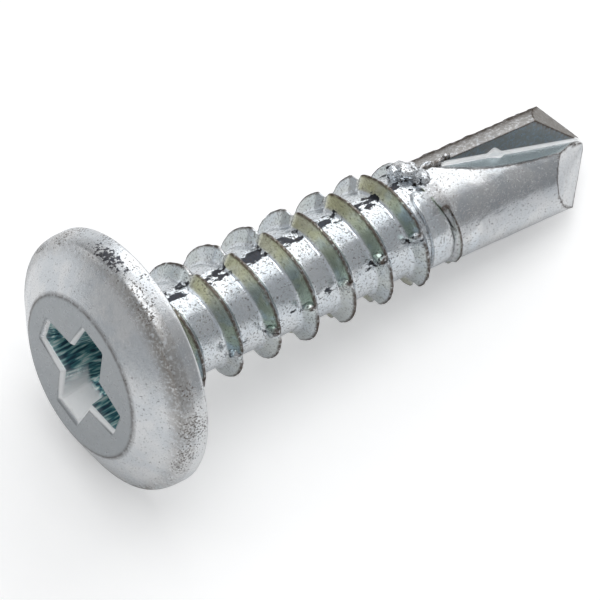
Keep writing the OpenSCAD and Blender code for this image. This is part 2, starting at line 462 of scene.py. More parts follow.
def drill_form(s):
    """The forged drill body, cut by its flutes and end facets, and sliced finely so that it can be roughened."""
    place = body_place(s)
    radius, high = s.point_d * MM / 2, s.tip_z * MM - BODY_Z
    deselect()
    bpy.ops.mesh.primitive_cylinder_add(vertices=144, radius=radius, depth=high, location=(0, 0, high / 2))
    drill = bpy.context.object
    drill.name = "drill"
    bpy.ops.object.transform_apply(location=True, rotation=True, scale=True)
    drill.data.transform(place)
    combine(drill, [flute_form(s, place, 0.0), flute_form(s, place, math.pi)], "DIFFERENCE")
    activate(drill)
    bpy.ops.object.mode_set(mode="EDIT")
    for point, normal in facet_planes(s):
        cut_plane(point, normal, True)
    # the shoulder, where the root ends in the wider body, is cut on a slant
    slant = Matrix.Rotation(math.radians(30), 3, "Z") @ Matrix.Rotation(math.radians(20), 3, "Y")
    cut_plane(place @ (slant @ Vector((0, 0, 1.1))), -(place.to_3x3() @ (slant @ Vector((0, 0, 1)))), True)
    for i in range(1, 66):
        cut_plane((0, 0, BODY_Z + 0.3 + SLICE_UP * i), (0, 0, 1), False)
    for i in range(-13, 14):
        cut_plane((SLICE_ACROSS * i, 0, 0), (1, 0, 0), False)
        cut_plane((0, SLICE_ACROSS * i, 0), (0, 1, 0), False)
    bpy.ops.mesh.select_all(action="SELECT")
    bpy.ops.mesh.remove_doubles(threshold=0.002)
    bpy.ops.object.mode_set(mode="OBJECT")
    return drill


def flash_forms(s):
    """The line of flash along the bottom of each flute, with the bump that it has."""
    place = body_place(s)
    forms = []
    start, tip = s.flute_z * MM, s.tip_z * MM
    for half_turn in (0.0, 180.0):
        out, side = spokes(math.radians(math.degrees(s.rake_turn) + half_turn))
        rings = []
        for i in range(61):
            f = i / 60
            z = start - 0.05 + (tip - 0.35 - start) * f
            r = s.flute_r * MM + (s.web_r - s.flute_r) * MM * (z - start) / (tip - start)
            wide = 0.09 + 0.02 * noise.noise(Vector((z * 2.2, half_turn, 1.0)))
            wide *= 0.35 + 0.65 * smooth_step(f, 0.0, 0.12) * (1.0 - 0.45 * smooth_step(f, 0.9, 1.0))
            bump = 0.19 * hump(z, 16.45, 0.40)
            sway = 0.02 + 0.012 * noise.noise(Vector((z * 1.4, 9.0, half_turn)))
            centre = out * r + side * sway + Vector((0, 0, z - BODY_Z))
            ring = []
            for j in range(10):
                b = math.tau * j / 10
                reach = wide * (1.0 + 0.2 * noise.noise(Vector((z * 4.0, j * 1.7, half_turn))))
                push = bump * max(0.0, math.cos(b - 0.5))
                up = out * (reach * 1.15 * math.cos(b) + push)
                ring.append(tuple(place @ (centre + up + side * (reach + bump * 0.3) * math.sin(b))))
            rings.append(ring)
        forms.append(lofted_form("flash", rings))
    return forms


def lump_form(name, centre, size, seed, finely=4):
    """A crumpled lump of displaced metal: a smooth ball, stretched, swollen here and creased there."""
    deselect()
    bpy.ops.mesh.primitive_ico_sphere_add(subdivisions=finely, radius=1.0, location=(0, 0, 0))
    obj = bpy.context.object
    obj.name = name
    outward = Vector((centre.x, centre.y, 0)).normalized()
    along = Vector((0, 0, 1))
    across = along.cross(outward)

    def rule(p):
        spot = p * 1.3 + Vector((seed * 3.7, seed * 1.9, 0))
        crease = abs(noise.noise(spot * 1.9)) + 0.5 * abs(noise.noise(spot * 4.1))
        k = 1.12 + 0.35 * noise.noise(spot) - 0.45 * max(0.0, 0.32 - crease)
        return centre + (outward * p.x * size[0] + across * p.y * size[1] + along * p.z * size[2]) * k

    move_points(obj, rule)
    return obj


def plate_form(s):
    """The raised band of the root before the last turn of the thread, with a rounded start."""
    root = s.root_d * MM / 2
    rings = []
    for i in range(48):
        t = 64.0 + 3.5 * i
        start = smooth_step(t, 58.0, 80.0)
        end = 1.0 - smooth_step(t, 170.0, 228.0)
        top = root + 0.02 + 0.13 * smooth_step(t, 62.0, 72.0) * end
        half = 0.10 + 0.35 * math.sqrt(start) * (0.4 + 0.6 * end)
        middle = 12.50 + s.pitch * MM * (t - 90.0) / 360.0 * 0.8
        edge = [(root - 0.12, half + 0.03), (top - 0.07, half + 0.01), (top - 0.02, half - 0.02), (top, half - 0.07)]
        edge.append((top + 0.012, half * 0.4))
        shape = [(r, -z) for r, z in edge] + edge[::-1]
        ring = []
        for r, z in shape:
            grain = 0.02 * noise.noise(Vector((t * 0.12, r * 6.0, z * 5.0)))
            ring.append(at(r + grain, math.radians(t), middle + z + grain))
        rings.append(ring)
    return lofted_form("plate", rings)


# turn in degrees, height over the bearing face, distance from the axis, then reach outwards, round and along, all mm
BURRS = (
    (36.0, 12.70, 1.96, 0.34, 0.40, 0.40),
    (52.0, 12.92, 1.95, 0.20, 0.34, 0.27),
    (28.0, 12.28, 1.95, 0.28, 0.30, 0.22),
    (40.0, 13.42, 1.92, 0.13, 0.13, 0.34),
    (43.0, 13.92, 1.91, 0.10, 0.10, 0.30),
    (41.0, 14.38, 1.93, 0.12, 0.10, 0.15),
)


def burr_forms():
    """Burrs where the thread runs out between the dies, on both sides of the screw."""
    forms = []
    for side in (0, 1):
        for i, (degrees, z, r, out, around, along) in enumerate(BURRS):
            centre = at(r, math.radians(degrees + 183.0 * side), z + 0.1 * side)
            forms.append(lump_form("burr", centre, (out, around, along), i + 11 * side))
    return forms


def knot_forms(s):
    """A knot of metal on each turn of the thread where the lower seam crosses it, on both sides of the screw."""
    forms = []
    root, crest = s.root_d * MM / 2, s.crest_d * MM / 2
    for side in (0, 1):
        for n in range(1, 7):
            turns = n + 0.4 + 0.5 * side
            t = seam_angles(turns * 360.0)[1] + 360.0 * n + 180.0 * side
            z = (s.thread_z + s.pitch * t / 360.0) * MM - 0.12
            centre = at(root + (crest - root) * 0.52, math.radians(t), z)
            size = (0.23 + 0.05 * noise.noise(Vector((n * 1.7, side, 0))), 0.17 + 0.03 * (n % 3), 0.25)
            forms.append(lump_form("knot", centre, size, n + 31 + 9 * side, 3))
    return forms


def roughen(s):
    """How far and where the finished skin is dented: forging waves on the drill, seams along the root."""
    root = s.root_d * MM / 2
    planes = facet_planes(s)

    def rule(p):
        r = math.hypot(p.x, p.y)
        t = math.degrees(math.atan2(p.y, p.x))
        if r < 1e-4:
            return p
        out = Vector((p.x, p.y, 0)) / r
        if 0.25 < p.z < 13.6 and abs(r - root) < 0.03:
            turns = (p.z - s.thread_z * MM) / (s.pitch * MM)
            top, low = seam_angles(turns * 360.0)
            d_top = (t - top + 90.0) % 180.0 - 90.0
            d_low = (t - low + 90.0) % 180.0 - 90.0
            q = p * 2.6
            wave = 0.010 * noise.noise(q) + 0.006 * noise.noise(p * 7.0)
            dent = 0.05 * hump(d_top, 2.0, 12.0) * max(0.0, noise.noise(p * 5.0 + Vector((4, 0, 0))) + 0.15)
            ridge = 0.05 * hump(d_low, 0.0, 7.0) * max(0.0, noise.noise(p * 4.0) + 0.2)
            return p + out * (wave - dent + ridge)
        if p.z > 13.7:
            fade = smooth_step(p.z, 13.7, 14.2)
            end = min(abs((p - point).dot(normal)) for point, normal in planes)
            fade *= 0.3 + 0.7 * smooth_step(end, 0.0, 0.25)
            wave = 0.012 * noise.noise(p * 1.6) + 0.006 * noise.noise(p * 5.0)
            wave += 0.055 * hump(t, 2.0, 12.0) * noise.noise(p * 4.5 + Vector((0, 3, 0)))
            return p + out * wave * fade
        return p

    return rule


def lay_down(s):
    """Turns the screw from its own axis to how it lies: on the rim of its head and two edges of its far flute."""
    rim, under = s.head_d * MM / 2, s.under_r * MM
    rest_z = (s.tip_z - s.rest_back) * MM
    rest_r = s.point_d * MM / 2 * math.cos(s.rest_half)
    foot_r, foot_z = rim - under - rest_r, rest_z + under
    tilt = math.atan2(foot_r, foot_z) + math.asin(under / math.hypot(foot_r, foot_z))
    lift = under + (rim - under) * math.cos(tilt) - under * math.sin(tilt)
    crown_z = -(s.rim_h + s.under_r + s.crown_rise) * MM
    head_x = -s.crown_d * MM / 2 * math.sin(tilt) + crown_z * math.cos(tilt)
    tip_x = s.tip_z * MM * math.cos(tilt)
    place = Matrix.Translation((-(head_x + tip_x) / 2, 0, lift))
    place = place @ Matrix.Rotation(math.pi / 2 + tilt, 4, "Y") @ Matrix.Rotation(math.pi - s.up_turn, 4, "Z")
    return place


# direction of the worn edge of the land beside the flute, degrees of turn
LAND_EDGE = 11.0
# direction of the wing of the recess whose end wall gets the lip's white painted highlight
HIGHLIT_WING = 246.0


MARKS = ("film", "worn", "seam", "pits", "grime", "deep", "crown", "drill", "foot", "lip", "span", "blue", "facet")


def surface_marks(mesh, s):
    """Names what each point of the skin is, for the finish: film, worn edge, seam, pitting, grime, depth, painted
    shade and highlights.
    """
    root, crest = s.root_d * MM / 2, s.crest_d * MM / 2
    slope, crown, body_r = s.slope_d * MM / 2, s.crown_d * MM / 2, s.point_d * MM / 2
    crown_z = -(s.rim_h + s.under_r + s.crown_rise) * MM
    rim_z = -(s.rim_h + s.under_r) * MM
    pitch, z0 = s.pitch * MM, s.thread_z * MM
    planes = facet_planes(s)
    body = body_place(s).inverted()
    bm = bmesh.new()
    bm.from_mesh(mesh)
    sharp = [0.0] * len(bm.verts)
    for e in bm.edges:
        if len(e.link_faces) == 2 and e.is_convex and e.calc_face_angle(0.0) > math.radians(34):
            for v in e.verts:
                sharp[v.index] = 1.0
    normals = [v.normal.copy() for v in bm.verts]
    bm.free()

    def on_head(p, r, t, up):
        found = {}
        if r < s.recess_d * MM / 2 + 0.02 and crown_z + 0.03 < p.z < -0.001 and up > -0.9:
            depth = p.z - crown_z
            # painted highlight: the lip and one wing's end wall are painted white; deeper in the recess the walls get
            # painted shade
            highlit = abs((t - HIGHLIT_WING + 180.0) % 360.0 - 180.0) < 24.0 and r > 1.0 and depth < 1.1
            found["deep"] = 0.0 if highlit else smooth_step(depth, 0.15, 0.2)
            found["lip"] = 1.0 - found["deep"]
        elif p.z < crown_z + 0.06:
            found["crown"] = 1.0 - smooth_step(r, crown - 0.02, crown + 0.12)
        band = hump(r, slope - 0.05, 0.5) if p.z < rim_z + 0.45 else 0.0
        found["grime"] = band * (0.35 + 0.65 * hump(t, 100.0, 70.0))
        rim = smooth_step(r, slope - 0.02, slope + 0.1) * (1.0 - smooth_step(p.z, -0.6, -0.3))
        found["blue"] = hump(t, 47.0, 26.0) * rim
        found["pits"] = smooth_step(r, slope - 0.45, slope + 0.02)
        found["worn"] = hump(r, crown + 0.02, 0.10) * 0.6 if p.z < crown_z + 0.1 else 0.0
        return found

    def on_thread(p, r, t, up):
        tt = t + 360.0 * round((p.z - z0) / pitch - t / 360.0)
        low = seam_distance(tt)[1]
        share = crest_height(tt, s)
        near = abs(p.z - (z0 + pitch * tt / 360.0)) < 0.47
        height = (r - root) / max(0.05, (crest - root) * share) if near else 0.0
        a_top, a_low = seam_angles(tt)
        span = (tt - a_top) % 180.0
        wide = (a_low - a_top) % 180.0
        inside = smooth_step(span, 0.0, 12.0) * (1.0 - smooth_step(span, wide - 8.0, wide + 4.0))
        flank = smooth_step(height, 0.08, 0.25) * smooth_step(-up, 0.05, 0.5)
        on_root = 1.0 - 0.85 * smooth_step(height, 0.12, 0.4)
        # painted reflection: black blotches on the root at a fixed turn near 48 degrees, where the root mirrors
        # something dark; the marks along the lower seam are the seam's own
        dark_reflection = 1.0 - smooth_step(abs((t - 48.0 + 90.0) % 180.0 - 90.0), 6.0, 17.0)
        found = {
            "film": flank * (0.25 + 0.75 * inside),
            "worn": smooth_step(height, 0.84, 0.97) * (1.0 if share > 0.3 else 0.4),
            "span": smooth_step(span, 20.0, 95.0),
            "seam": max(dark_reflection * on_root, 0.8 * hump(low, 3.0, 13.0)),
            "foot": hump(height, 0.05, 0.12) if share > 0.2 else 0.0,
        }
        if p.z > BODY_Z and abs((t - 40.0 + 90.0) % 180.0 - 90.0) < 26.0:
            found.update(seam=0.62, film=0.0, worn=0.0)
        return found

    def on_drill(p, out, edge):
        q = body @ p
        t = math.degrees(math.atan2(q.y, q.x))
        land = hump(t, LAND_EDGE, 20.0) if math.hypot(q.x, q.y) > body_r - 0.08 else 0.0
        end = min(abs((p - point).dot(normal)) for point, normal in planes)
        return {
            # painted shade: a darker band round the drill body near turn 120, standing in for the dark surroundings
            # it mirrors
            "drill": smooth_step(p.z, SHANK_END, SHANK_END + 0.4) * hump(t, 120.0, 32.0),
            "worn": max(0.9 * edge, land),
            "grime": 0.8 if -30.0 < t < 44.0 else 0.0,
            "facet": 1.0 - smooth_step(end, 0.0, 0.01),
            "pits": 0.35 + 0.4 * smooth_step(-out, -0.2, 0.4),
        }

    marks = {name: [0.0] * len(mesh.vertices) for name in MARKS}
    for i, v in enumerate(mesh.vertices):
        p, n = v.co, normals[i]
        r, t = math.hypot(p.x, p.y), math.degrees(math.atan2(p.y, p.x))
        if p.z < 0.02:
            found = on_head(p, r, t, n.z)
        elif p.z < SHANK_END or (r > body_r + 0.06 and p.z < 14.4):
            found = on_thread(p, r, t, n.z)
        else:
            found = on_drill(p, (n.x * p.x + n.y * p.y) / max(r, 1e-6), sharp[i])
        for name, value in found.items():
            marks[name][i] = value
    for name, values in marks.items():
        layer = mesh.attributes.new(name, "FLOAT", "POINT")
        layer.data.foreach_set("value", values)


# Finish


class Tree:
    """A few short words for building a node tree."""

    def __init__(self, tree):
        self.nodes, self.links = tree.nodes, tree.links

    def add(self, kind, **values):
        node = self.nodes.new(kind)
        for key, value in values.items():
            setattr(node, key, value)
        return node

    def put(self, socket, value):
        if isinstance(value, bpy.types.NodeSocket):
            self.links.new(value, socket)
        else:
            socket.default_value = value

    def math(self, what, a, b=0.0, clamp=False):
        node = self.add("ShaderNodeMath", operation=what, use_clamp=clamp)
        self.put(node.inputs[0], a)
        self.put(node.inputs[1], b)
        return node.outputs[0]

    def times(self, *values):
        """The product of sockets and numbers."""
        total = values[0]
        for value in values[1:]:
            total = self.math("MULTIPLY", total, value)
        return total

    def place_in(self, coords, place):
        """Coordinates in millimetres in the frame that place puts where it is."""
        back = place.inverted()
        node = self.add("ShaderNodeMapping")
        self.put(node.inputs["Vector"], coords)
        node.inputs["Scale"].default_value = (MM, MM, MM)
        node.inputs["Rotation"].default_value = back.to_euler("XYZ")
        node.inputs["Location"].default_value = back.translation
        return node.outputs[0]

    def fit(self, value, low, high, to_low=0.0, to_high=1.0):
        node = self.add("ShaderNodeMapRange", interpolation_type="SMOOTHSTEP")
        for i, v in enumerate((value, low, high, to_low, to_high)):
            self.put(node.inputs[i], v)
        return node.outputs[0]

    def mix(self, amount, a, b, how="MIX"):
        node = self.add("ShaderNodeMix", data_type="RGBA", blend_type=how)
        self.put(node.inputs[0], amount)
        self.put(node.inputs[6], a)
        self.put(node.inputs[7], b)
        return node.outputs[2]

    def layers(self, base, pairs):
        """Colours laid over a base one after the other, each by its own amount."""
        for amount, over in pairs:
            base = self.mix(amount, base, over)
        return base

    def grain(self, where, scale, detail=4.0, rough=0.55):
        node = self.add("ShaderNodeTexNoise")
        self.put(node.inputs["Vector"], where)
        self.put(node.inputs["Scale"], scale)
        node.inputs["Detail"].default_value = detail
        node.inputs["Roughness"].default_value = rough
        return node.outputs[0]

    def edges(self, width):
        """1 along edges, convex and concave alike, within a width of them in metres."""
        bevel = self.add("ShaderNodeBevel", samples=4)
        self.put(bevel.inputs["Radius"], width)
        plain = self.add("ShaderNodeNewGeometry")
        dot = self.add("ShaderNodeVectorMath", operation="DOT_PRODUCT")
        self.put(dot.inputs[0], bevel.outputs["Normal"])
        self.put(dot.inputs[1], plain.outputs["Normal"])
        return self.fit(dot.outputs["Value"], 0.80, 0.985, 1.0, 0.0)

    def mark(self, name):
        node = self.add("ShaderNodeAttribute", attribute_type="GEOMETRY", attribute_name=name)
        return node.outputs["Fac"]

    def moved(self, where, location, scale=(1, 1, 1)):
        """Coordinates scaled and then moved, so that a pattern differs from the others."""
        node = self.add("ShaderNodeMapping")
        self.put(node.inputs["Vector"], where)
        node.inputs["Scale"].default_value = scale
        node.inputs["Location"].default_value = location
        return node.outputs[0]


def rgb(value):
    """Four numbers from a colour of three."""
    return (value[0], value[1], value[2], 1.0)


def pitting_group():
    """Small pits: how dark they are and how deep, from a place, a scale and an amount."""
    tree = bpy.data.node_groups.new("pitting", "ShaderNodeTree")
    tree.interface.new_socket("Place", in_out="INPUT", socket_type="NodeSocketVector")
    for name in ("Scale", "Amount"):
        tree.interface.new_socket(name, in_out="INPUT", socket_type="NodeSocketFloat")
    for name in ("Pits", "Height"):
        tree.interface.new_socket(name, in_out="OUTPUT", socket_type="NodeSocketFloat")
    t = Tree(tree)
    inp, out = t.add("NodeGroupInput"), t.add("NodeGroupOutput")
    fine = t.grain(inp.outputs["Place"], inp.outputs["Scale"], 3.0, 0.6)
    level = t.math("SUBTRACT", 0.78, t.times(inp.outputs["Amount"], 0.36))
    pits = t.fit(fine, level, t.math("ADD", level, 0.07))
    t.put(out.inputs["Pits"], pits)
    t.put(out.inputs["Height"], t.times(pits, -1.0))
    return tree


def flute_masks(t, coords, place, s):
    """Where the flash runs along the bottom of each flute, the flute's flat face and its heel wall."""
    flute = place @ body_place(s) @ Matrix.Rotation(s.rake_turn, 4, "Z")
    split = t.add("ShaderNodeSeparateXYZ")
    t.put(split.inputs[0], t.place_in(coords, flute))
    side = t.math("SIGN", split.outputs[0])
    out, across, high = t.times(split.outputs[0], side), t.times(split.outputs[1], side), split.outputs[2]
    start, tip = s.flute_z * MM - BODY_Z, s.tip_z * MM - BODY_Z
    floor = t.fit(high, start, tip, s.flute_r * MM, s.web_r * MM)
    floor.node.interpolation_type = "LINEAR"
    bump = t.times(0.20, t.math("SUBTRACT", 1.0, t.fit(t.math("ABSOLUTE", t.math("SUBTRACT", high, 4.45)), 0.0, 0.4)))
    past = t.math("SUBTRACT", out, floor)
    far = t.math("SQRT", t.math("ADD", t.times(past, past), t.times(across, across)))
    near = t.math("ADD", 0.125, bump)
    flash = t.math("SUBTRACT", 1.0, t.fit(far, near, t.math("ADD", near, 0.03)))
    begun = t.math("GREATER_THAN", high, start - 0.02)
    rake = t.times(t.math("LESS_THAN", t.math("ABSOLUTE", across), 0.045), t.math("GREATER_THAN", past, 0.0))
    radius = t.math("SQRT", t.math("ADD", t.times(out, out), t.times(across, across)))
    heel = t.times(t.math("GREATER_THAN", across, 0.05), t.fit(radius, 1.78, 1.92, 1.0, 0.0))
    return t.times(flash, begun), t.times(rake, begun), t.times(heel, begun)


# tones that stay as they are: of the drill body, with the painted shade of its dark band, of the films on the flanks,
# of the stripes in the recess, with navy painted shade and white painted highlight, and of blotches, with black
# painted reflection on the root, of the white painted highlight on the flash and the lip, and of the sheen of dull
# places
DRILL_SHADE_GREY, HEEL_TEAL, FACET_BROWN = (0.36, 0.38, 0.41, 1), (0.42, 0.53, 0.56, 1), (0.27, 0.25, 0.225, 1)
OLIVE_PALE, OLIVE_GREEN, OLIVE_BLUE = (0.50, 0.50, 0.36, 1), (0.34, 0.45, 0.38, 1), (0.38, 0.50, 0.55, 1)
RECESS_SHADE_NAVY, RECESS_GREEN, RECESS_HIGHLIGHT_WHITE = (0.015, 0.06, 0.10, 1), (0.36, 0.58, 0.56, 1), (0.86, 0.92, 0.90, 1)
SEAM_AND_REFLECTION_BLACK, BLOTCH_NAVY, FOOT_BLUE = (0.008, 0.010, 0.018, 1), (0.02, 0.025, 0.045, 1), (0.80, 0.88, 0.95, 1)
HIGHLIGHT_WHITE, DULL_TINT = (0.95, 0.955, 0.96, 1), (0.2, 0.19, 0.18, 1)


def zinc_finish(colours, place, sizes):
    """Bright zinc plating: cool and warm patches, fine grain, pits, coloured films, worn edges, grime, painted shade
    and highlights.
    """
    material = bpy.data.materials.new("zinc_plate")
    material.use_nodes = True
    t = Tree(material.node_tree)
    bsdf = t.nodes["Principled BSDF"]
    coords = t.add("ShaderNodeTexCoord").outputs["Object"]
    mm = t.place_in(coords, place)
    film, worn, seam, rim_pits, grime, deep, crown, drill, foot, lip, span, blue, facet = (t.mark(m) for m in MARKS)
    flash, rake, heel = flute_masks(t, coords, place, sizes)
    heel = t.times(heel, t.math("SUBTRACT", 1.0, facet))

    split = t.add("ShaderNodeSeparateXYZ")
    t.put(split.inputs[0], mm)
    along = split.outputs[2]
    shank = t.times(t.fit(along, 0.0, 0.3), t.fit(along, 13.0, 14.0, 1.0, 0.35))

    broad = t.grain(mm, 0.9, 3.0)
    middle = t.grain(mm, 5.0, 4.0)
    fine = t.grain(mm, 34.0, 3.0, 0.6)
    speck = t.grain(mm, 14.0, 5.0, 0.7)
    dark = rgb(colours.brown)

    base = t.mix(t.fit(broad, 0.38, 0.62), rgb(colours.zinc), rgb(colours.zinc_blue))
    base = t.layers(base, (
        (t.times(t.fit(fine, 0.35, 0.68), 0.35), (0.86, 0.87, 0.88, 1)),
        (t.times(t.fit(speck, 0.56, 0.72), 0.30), (0.36, 0.37, 0.39, 1)),
        # painted shade: the crown painted darker, for the dim surroundings it mirrors
        (t.times(crown, 0.9), rgb(colours.crown)),
        # painted shade: the dark band round the drill body
        (t.times(drill, 0.5), DRILL_SHADE_GREY),
        (t.times(heel, 0.8), HEEL_TEAL),
        # the flute's flat face painted dark all over
        (t.times(rake, 0.85), rgb(colours.rake)),
        (t.times(facet, grime, 0.75), FACET_BROWN),
    ))

    # coloured films
    soft = t.grain(t.moved(mm, (5, 2, 0)), 1.3, 2.0)
    olive = t.layers(rgb(colours.olive), (
        (t.fit(soft, 0.35, 0.62), OLIVE_PALE),
        (span, OLIVE_GREEN),
        (t.times(span, t.fit(soft, 0.45, 0.62)), OLIVE_BLUE),
    ))
    # the recess: painted shade in navy, with lengthwise stripes of the teal and green film and of white painted
    # highlight
    lines = t.grain(t.moved(mm, (0, 0, 0), (9.0, 9.0, 0.12)), 1.0, 1.0, 0.6)
    inside = t.layers(RECESS_SHADE_NAVY, (
        (t.fit(lines, 0.38, 0.46), rgb(colours.teal)),
        (t.fit(lines, 0.50, 0.56), RECESS_GREEN),
        (t.fit(lines, 0.60, 0.66), RECESS_HIGHLIGHT_WHITE),
    ))
    patch = t.fit(t.grain(t.moved(mm, (2, 6, 0)), 1.1, 2.0), 0.2, 0.45)
    base = t.layers(base, (
        (t.times(film, t.math("ADD", t.times(patch, 0.5), 0.5), 0.92), olive),
        (t.times(foot, patch, 0.5), FOOT_BLUE),
        # painted shade and painted highlight stripes deep in the recess
        (t.times(deep, 0.97), inside),
    ))

    # pits and blotches: the black ones on the root are a painted dark reflection, the others pits and seam marks
    group = pitting_group()

    def pits(scale, amount, where=mm):
        node = t.add("ShaderNodeGroup", node_tree=group)
        t.put(node.inputs["Place"], where)
        node.inputs["Scale"].default_value = scale
        t.put(node.inputs["Amount"], amount)
        return node.outputs["Pits"], node.outputs["Height"]

    side = t.fit(t.grain(t.moved(mm, (0, 7, 3)), 0.45, 2.0), 0.35, 0.65)
    rim_dark, rim_deep = pits(13.0, t.times(rim_pits, t.math("ADD", 0.35, t.times(side, 0.5))))
    seam_and_reflection_dark, seam_deep = pits(4.6, t.times(seam, 0.9), t.moved(mm, (0, 0, 0), (1.0, 1.0, 0.55)))
    blue_dark, blue_deep = pits(6.5, t.times(blue, 1.05))
    all_dark, all_deep = pits(13.0, t.fit(shank, 0.0, 1.0, 0.44, 0.58))
    open_air = t.math("SUBTRACT", 1.0, deep)

    # grime along the rim, and edges worn dark with creases darkened alike; the flash and the lip get a white painted
    # highlight
    smear = t.fit(t.grain(t.moved(mm, (2, 0, 9)), 8.0, 6.0, 0.75), 0.36, 0.54)
    chips = t.fit(t.grain(mm, 9.0, 5.0, 0.75), 0.36, 0.50)
    painted_highlight = t.math("MAXIMUM", flash, lip)
    reach = t.fit(along, BODY_Z, 14.2, EDGE_WIDTH, EDGE_WIDTH * DRILL_EDGES)
    # convex edges and concave creases alike are darkened
    edge = t.times(t.edges(reach), t.math("SUBTRACT", 1.0, t.math("MAXIMUM", painted_highlight, deep)))
    edge = t.times(t.math("MAXIMUM", worn, edge), chips)
    base = t.layers(base, (
        (t.times(rim_dark, open_air, 0.75), dark),
        # painted reflection: the black blotches on the root, over the seams' own marks
        (t.times(seam_and_reflection_dark, 0.95), SEAM_AND_REFLECTION_BLACK),
        (t.times(blue_dark, 0.92), BLOTCH_NAVY),
        (t.times(all_dark, open_air, 0.6), dark),
        (t.times(grime, smear, 0.85), rgb(colours.grime)),
        (t.times(edge, 0.9), dark),
        # painted highlight: the flash and the lip painted white, rough and hardly metal
        (t.times(painted_highlight, 0.95), HIGHLIGHT_WHITE),
    ))
    dull = t.math("MAXIMUM", edge, t.times(grime, smear, 0.7))

    rough = t.fit(middle, 0.3, 0.7, 0.14, 0.24)
    rough = t.math("ADD", rough, t.times(crown, 0.12))
    rough = t.math("ADD", rough, t.times(painted_highlight, 0.3))
    rough = t.math("ADD", rough, t.times(t.math("MAXIMUM", grime, edge), 0.22), True)
    metal = t.math("SUBTRACT", 1.0, t.times(rim_dark, 0.3))
    metal = t.math("SUBTRACT", metal, t.times(painted_highlight, 0.9))
    metal = t.math("SUBTRACT", metal, t.times(heel, 0.45))
    metal = t.math("SUBTRACT", metal, t.times(deep, 0.55), True)

    height = t.times(t.math("SUBTRACT", fine, 0.5), 0.16)
    for part in ((middle, 0.22), (rim_deep, rim_pits, 0.7), (seam_deep, seam, 1.6), (blue_deep, blue, 1.2),
                 (all_deep, 0.4), (lines, deep, 0.6)):
        height = t.math("ADD", height, t.times(*part))
    bump = t.add("ShaderNodeBump")
    bump.inputs["Strength"].default_value = 0.8
    bump.inputs["Distance"].default_value = 0.00003
    t.put(bump.inputs["Height"], height)

    t.put(bsdf.inputs["Base Color"], base)
    t.put(bsdf.inputs["Specular Tint"], t.mix(dull, (1, 1, 1, 1), DULL_TINT))
    t.put(bsdf.inputs["Roughness"], rough)
    t.put(bsdf.inputs["Metallic"], metal)
    t.put(bsdf.inputs["Normal"], bump.outputs[0])
    return material


def table_finish(colours):
    """A white table that keeps the shadow: the camera and mirror-like reflections see it a little brighter."""
    material = bpy.data.materials.new("table")
    material.use_nodes = True
    t = Tree(material.node_tree)
    bsdf = t.nodes["Principled BSDF"]
    coords = t.add("ShaderNodeTexCoord")
    weave = t.grain(coords.outputs["Object"], 900.0, 2.0)
    base = t.mix(t.fit(weave, 0.3, 0.7), rgb([c * 0.99 for c in colours.table]), rgb(colours.table))
    t.put(bsdf.inputs["Base Color"], base)
    bsdf.inputs["Roughness"].default_value = 0.9
    bsdf.inputs["Specular IOR Level"].default_value = 0.1
    path = t.add("ShaderNodeLightPath")
    mirrored = t.math("MAXIMUM", path.outputs["Is Glossy Ray"], path.outputs["Is Transmission Ray"])
    glow = t.add("ShaderNodeEmission")
    glow.inputs["Color"].default_value = (1, 1, 1, 1)
    seen = t.times(path.outputs["Is Camera Ray"], TABLE_GLOW)
    t.put(glow.inputs["Strength"], t.math("ADD", seen, t.times(mirrored, MIRROR_GLOW)))
    both = t.add("ShaderNodeAddShader")
    t.put(both.inputs[0], bsdf.outputs[0])
    t.put(both.inputs[1], glow.outputs[0])
    t.put(t.nodes["Material Output"].inputs["Surface"], both.outputs[0])
    return material


# Stage

# extra light of the table, to the camera and to reflections
TABLE_GLOW, MIRROR_GLOW = 0.30, 0.10
# direction towards each soft patch of the room in degrees of azimuth and height, its half width, and its light
ROOM_LEVEL = 0.42
ROOM = (
    (35.0, 20.0, 50.0, 0.30),
    (-48.0, 22.0, 34.0, -0.04),
    (170.0, 10.0, 40.0, 0.06),
)
# each lamp: its name, the direction towards it in degrees of azimuth and height, its distance, its size and its watts
LAMPS = (
    ("key_lamp", 29.0, 27.0, 0.45, 0.52, 0.82),
    ("top_lamp", 100.0, 84.0, 0.4, 0.3, 0.55),
)
# camera: the point it looks at, its azimuth, height, distance and roll, and its lens
AIM = Vector((-0.0024479, -0.0014661, 0.0046621))
CAMERA_AZIMUTH = math.radians(-132.1126)
CAMERA_HEIGHT = math.radians(59.2071)
CAMERA_DISTANCE = 0.2118386
CAMERA_ROLL = math.radians(7.9127)
LENS, SENSOR_WIDTH = 360.0, 36.0


def direction(azimuth, height):
    """Unit vector towards an azimuth and a height."""
    return Vector((math.cos(azimuth) * math.cos(height), math.sin(azimuth) * math.cos(height), math.sin(height)))


